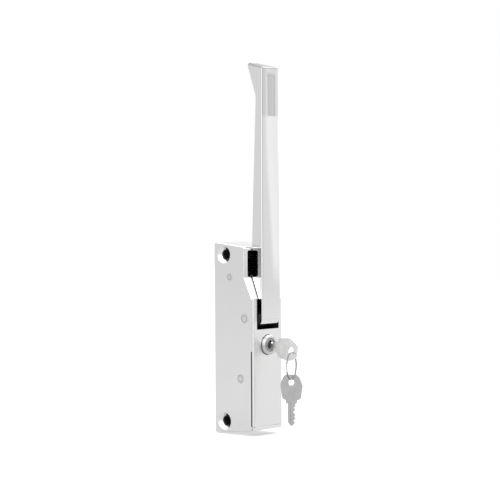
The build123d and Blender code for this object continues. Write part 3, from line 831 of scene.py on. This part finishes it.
def lever_ring(z, inset=0.0):
    """Section at one height: crowned front, rounded edges, drafted sides and flat back."""
    half = lever_half - narrowing * share_between(z, narrow_from, lever_top) - inset
    front, rear = lever_front + inset, rear_at(z) - inset

    def crown(x):
        return front + crown_radius - math.sqrt(crown_radius ** 2 - x * x)

    columns = [step * column_gap for step in range(panel_columns)] + outer_columns + [half - edge_support]
    right = [(x, crown(x) + thumb_hollow(x, z)) for x in columns]
    corner, back_corner = Vector((half, crown(half))), Vector((half - draft * (rear - front), rear))
    support = (back_corner - corner).normalized() * edge_support
    right += [tuple(corner), tuple(corner + support), (half - draft * chin_run, front + chin_run)]
    right += [tuple(back_corner - support), tuple(back_corner)]
    right += [(back_corner.x - edge_support, rear), (0.0, rear)]
    radii = [0] * len(columns) + [lever_edge, 0, 0, 0, lever_edge, 0, 0]
    tilt = top_drop * share_between(z, tilt_from, lever_top)
    chin = chin_rise * (1 - share_between(z, lever_foot, lug_top))
    ring = []
    for spot in mirrored(rounded(right, radii)):
        depth = spot.y - front
        height = z - tilt * (1 - depth / (rear - front)) + chin * max(1 - depth / chin_run, 0.0)
        ring.append(Vector((case_middle.x + spot.x, spot.y, height)))
    return ring


print("points in one section:", len(lever_ring(0.1)))

# %% [markdown]
# The sections are laid one above the other at even heights, with more of them at the panel's rims and where
# the back bends. The first and the last few step inwards along a quarter circle, which rounds the foot and
# the tip. A bevel modifier would round them too, but it would soften the panel's rim as well.

# %% Lever from foot to tip
bevel = 0.0009
tip_bevel = 0.0020
hair = 0.0002
foot_levels = 6
foot_gap = (lug_top - lever_foot) / foot_levels
first_level = 0.045
level_gap = 0.004
level_count = 54
rim_gap = 0.0005
heights = [lever_foot + bevel + hair + foot_gap * step for step in range(foot_levels)]
heights += [spot.y for spot in rear_line if spot.y > lug_top]
heights += [first_level + level_gap * step for step in range(level_count)]
for rim, inward in ((panel_low_z, 1), (panel_high_z, -1)):
    heights += [rim + inward * rim_gap * step for step in range(-1, 9)]
highest = lever_top - tip_bevel - 2 * hair
heights = sorted(height for height in set(round(h, 5) for h in heights) if height < highest)


def quarter_turn(size, steps):
    """Rise and inset along a quarter circle, from the full section to the flat end."""
    turns = [math.radians(90 * step / steps) for step in range(steps + 1)]
    return [(size * math.sin(turn), size * (1 - math.cos(turn))) for turn in turns]


foot_turn = reversed(quarter_turn(bevel, 4))
tip_turn = quarter_turn(tip_bevel, 6)
lever_rings = [lever_ring(lever_foot + bevel - rise, inset) for rise, inset in foot_turn]
lever_rings += [lever_ring(height) for height in heights]
lever_rings.append(lever_ring(lever_top - tip_bevel - hair))
lever_rings += [lever_ring(lever_top - tip_bevel + rise, inset) for rise, inset in tip_turn]
casting_points, casting_faces = [], []
add_rings(casting_points, casting_faces, lever_rings)
print("rings in the lever:", len(lever_rings))

# %% [markdown]
# Inside the case the lever ends in a boss round its pin, with a tail that lifts the links and a nib that the
# lock blocks. These are plain plates with drilled holes, so each is one flat outline given a thickness.

# %% Boss, tail and nib
def middle_of(name):
    low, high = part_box(name)
    return (low + high) / 2


lever_axis = middle_of("lever_pin")
link_axis = middle_of("link_pin")
boss_radius = 0.0086
lever_bore = 0.00356
link_bore = 0.0025
tail_half = 0.0063
tail_rise = 0.0045
tail_start = lever_axis.y + 0.0045
nib_half = 0.004
nib_front = lever_axis.y + 0.0054
nib_rear = nib_front + 0.002
block_half = lever_half - draft * (throat_y - lever_front)
block_front = throat_y - 0.001
block_rear = lever_axis.y - 0.005


def across_case(u, v, end):
    return Vector((case_middle.x + end, u, v))


block = [(block_front, lever_foot + bevel), (block_rear, lever_foot + bevel), (block_rear, lug_top),
         (block_front, lug_top)]
add_slab(casting_points, casting_faces, block, [], (-block_half, block_half), across_case)
add_slab(casting_points, casting_faces, circle(lever_axis.y, lever_axis.z, boss_radius, 48),
         [circle(lever_axis.y, lever_axis.z, lever_bore)], (-lever_half, lever_half), across_case)
tail = rounded([(tail_start, lever_axis.z + tail_rise), (handle_high.y, lever_axis.z),
                (handle_high.y, link_axis.z), (link_axis.y, link_axis.z - tail_rise),
                (tail_start, lever_axis.z - tail_rise)], [0, 0.001, 0.0015, 0.003, 0])
add_slab(casting_points, casting_faces, tail, [circle(link_axis.y, link_axis.z, link_bore)],
         (-tail_half, tail_half), across_case)
nib = [(nib_front, handle_low.z), (nib_rear, handle_low.z), (nib_rear, lever_axis.z),
       (nib_front, lever_axis.z)]
add_slab(casting_points, casting_faces, nib, [], (-nib_half, nib_half), across_case)
handle_casting = add_piece("handle_casting", casting_mesh("handle_casting", casting_points, casting_faces),
                           "handle", handle_chrome)
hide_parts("handle")
print("faces in the handle casting:", len(casting_faces))

# %% [markdown]
# The case's upper window has rounded corners and stands a little in from the walls. That could be drawn as
# dark and light paint on the case, but paint has no edge that catches light. So the frame is a thin plate
# with a rounded opening, which sits in the hollow between the walls.

# %% Window frame
hollow_half = inner_half - 0.0001
hollow_top = 0.0874
window_half = 0.0159
window_corner = 0.002
window_low = slope_head + 0.0004
window_high = hollow_top - 0.0003
frame_depth = 0.0016
frame_front = cover_back + slope_run
frame_rear = frame_front + frame_depth


def through_front(u, v, end):
    return Vector((case_middle.x + u, end, v))


def rectangle(half, low, high):
    return [(-half, low), (half, low), (half, high), (-half, high)]


window_points, window_faces = [], []
add_slab(window_points, window_faces, rectangle(hollow_half, slope_head, hollow_top),
         [rounded(rectangle(window_half, window_low, window_high), [window_corner] * 4)],
         (frame_front, frame_rear), through_front)
window_frame = add_piece("window_frame", casting_mesh("window_frame", window_points, window_faces), "case",
                         case_chrome)
print("window in mm:", round(window_half * 2000, 1), "wide")

# %% [markdown]
# A sill closes the front below the cover: a low bar as wide as the case. A block would do for its size, but
# its sharp edges would stay dark, so it is built from rings like the lever. The lowest and the highest ring
# step inwards, which eases its long edges, and its front corners are round.

# %% Sill
sill_gap = 0.0002
sill_height = 0.0032
sill_depth = 0.0025
sill_corner = 0.0016
foot_round = 0.0005
top_round = 0.0003
sill_half = case_half - sill_gap
sill_top = cover_low.z - sill_gap
sill_foot = sill_top - sill_height
sill_rear = cover_back + sill_depth
sill_points, sill_faces, sill_rings = [], [], []
for height, inset in ((sill_foot, foot_round), (sill_foot + foot_round * 0.3, foot_round * 0.4),
                      (sill_foot + foot_round, 0.0), (sill_top - top_round, 0.0), (sill_top, top_round)):
    half, front = sill_half - inset, cover_low.y + inset
    corners = [(0.0, front), (half, front), (half, sill_rear), (0.0, sill_rear)]
    right = rounded(corners, [0, sill_corner, 0, 0])
    sill_rings.append([Vector((case_middle.x + spot.x, spot.y, height)) for spot in mirrored(right)])
add_rings(sill_points, sill_faces, sill_rings)
sill_mesh = casting_mesh("sill", sill_points, sill_faces)
sill = add_piece("sill", sill_mesh, "case", cover_chrome)
print("sill height in mm:", round((sill_top - sill_foot) * 1000, 1))

# %% [markdown]
# A studio for chrome is mostly about what stands around the object. Lamps alone would leave polished metal
# black with hot spots, so the world itself is the large soft light, and the metal sees a slow change of
# brightness round the room: a bright panel to the right, a softer one behind the camera and quieter walls
# between them. The camera sees plain white.

# %% The room that the metal sees
world = bpy.data.worlds.new("studio")
world.use_nodes = True
bpy.context.scene.world = world
room = Bench(world.node_tree)
look = room.node("ShaderNodeTexCoord")["Generated"]
way = room.node("ShaderNodeSeparateXYZ", inputs={0: look})
bearing = room.node("ShaderNodeMath", {"operation": "ARCTAN2"}, {0: way["Y"], 1: way["X"]})[0]
panel_lean = 2.97
height = room.clamp(way["Z"], -0.15, 0.03)
round_share = (bearing + height * panel_lean) / (2 * math.pi) + 0.5
walls = room.ramp(round_share, [
    (0.0, 0.55), (0.05, 1.0), (0.15, 1.0), (0.19, 0.12), (0.26, 0.14), (0.30, 0.48), (0.345, 0.52),
    (0.368, 0.53), (0.380, 0.66), (0.425, 0.62), (0.455, 0.95), (0.56, 0.95), (0.62, 0.52), (0.72, 0.50),
    (0.78, 0.49), (0.88, 0.50), (1.0, 0.55)])
ceiling_from = 0.30
ceiling_fade = 0.15
ceiling = room.clamp((way["Z"] - ceiling_from) / ceiling_fade)
seen_in_metal = walls * 2.0 + ceiling * 1.2
path = room.node("ShaderNodeLightPath")
plain = 0.85
strength = plain + path["Is Glossy Ray"] * (seen_in_metal - plain)
strength = strength * (1.0 - path["Is Camera Ray"]) + path["Is Camera Ray"]
sky = room.node("ShaderNodeBackground", inputs={"Color": (1, 1, 1, 1), "Strength": strength})[0]
room.node("ShaderNodeOutputWorld", inputs={0: sky})
print("room set")

# %% [markdown]
# The floor is a wide pale sheet just under the lowest point. It catches the latch's soft shadow. To the
# camera it is lifted to white. More light would whiten it too, but it would fall on the metal as well.

# %% Floor
floor_size = 6.0
floor_z = solid_box[0].z - 0.0005
floor_mesh = bpy.data.meshes.new("floor")
half = floor_size / 2
floor_mesh.from_pydata([(-half, -half, floor_z), (half, -half, floor_z), (half, half, floor_z),
                        (-half, half, floor_z)], [], [(0, 1, 2, 3)])
floor = bpy.data.objects.new("floor", floor_mesh)
bpy.context.scene.collection.objects.link(floor)
floor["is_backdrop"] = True
floor_material, ground = new_material("pale_floor")
floor_path = ground.node("ShaderNodeLightPath")
matt = ground.node("ShaderNodeBsdfDiffuse", inputs={"Color": (0.75, 0.75, 0.75, 1)})[0]
lift_seen = floor_path["Is Camera Ray"] * 0.48 + floor_path["Is Glossy Ray"] * 0.36
lift = ground.node("ShaderNodeEmission", inputs={"Color": (1, 1, 1, 1), "Strength": lift_seen})[0]
both = ground.node("ShaderNodeAddShader", inputs={0: matt, 1: lift})[0]
ground.node("ShaderNodeOutputMaterial", inputs={0: both})
floor_mesh.materials.append(floor_material)
print("floor at mm:", round(floor_z * 1000, 1))


# %% [markdown]
# Two large soft lamps give the shadow a direction and the edges their bright lines. Area lamps are used,
# because a small lamp would show as a hard dot in every rounded edge.

# %% Soft lamps
def soft_lamp(name, place, aim, size, power):
    data = bpy.data.lights.new(name, "AREA")
    data.shape = "RECTANGLE"
    data.size, data.size_y = size
    data.energy = power
    lamp = bpy.data.objects.new(name, data)
    lamp.location = place
    lamp.rotation_euler = (Vector(aim) - Vector(place)).to_track_quat("-Z", "Y").to_euler()
    bpy.context.scene.collection.objects.link(lamp)
    return lamp


middle = (solid_box[0] + solid_box[1]) / 2
lamps = [
    soft_lamp("right_panel", (1.3, -0.9, 1.9), middle, (1.0, 0.8), 9.0),
    soft_lamp("left_panel", (-1.2, -1.2, 1.9), middle, (1.0, 0.8), 5.0),
]
print("lamps:", [lamp.name for lamp in lamps])

# %% [markdown]
# The camera stands well back with a long lens and looks at the latch's left front corner. Its numbers were
# found by matching corners of the solid with corners in the picture. It turns a fraction of a degree about
# its own line of sight, which is kept, because the case's long edges show it.

# %% Camera
camera_azimuth = math.radians(-47.592)
camera_elevation = math.radians(1.66)
camera_distance = 1.7698
camera_roll = math.radians(-0.294)
camera_target = Vector((-0.02549, -0.020, 0.08713))
focal_pixels = 1789.3
picture_pixels = 500.0
sensor_mm = 36.0
back = Vector((math.sin(camera_azimuth) * math.cos(camera_elevation),
               -math.cos(camera_azimuth) * math.cos(camera_elevation),
               math.sin(camera_elevation)))
camera_data = bpy.data.cameras.new("camera")
camera_data.sensor_width = sensor_mm
camera_data.lens = focal_pixels / picture_pixels * sensor_mm
camera_data.clip_start, camera_data.clip_end = 0.05, 30.0
camera = bpy.data.objects.new("camera", camera_data)
camera.location = camera_target + back * camera_distance
aim = (-back).to_track_quat("-Z", "Y")
camera.rotation_mode = "QUATERNION"
camera.rotation_quaternion = aim @ Vector((0, 1, 0)).rotation_difference(
    Vector((-math.sin(camera_roll), math.cos(camera_roll), 0)))
bpy.context.scene.collection.objects.link(camera)
bpy.context.scene.camera = camera
bpy.context.scene.view_settings.view_transform = "Standard"
print("lens in mm:", round(camera_data.lens, 1))

# %% [markdown]
# Last, the size of the dressed latch is set beside the size of the solids. They should agree, because looks
# must not change a part's dimensions.

# %% Sizes and finish
dressed_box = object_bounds()
reach = zip(solid_box[0], dressed_box[0], dressed_box[1], solid_box[1])
growth = max(max(a - b, c - d) for a, b, c, d in reach)
print("most that the looks stand out, in mm:", round(growth * 1000, 3))
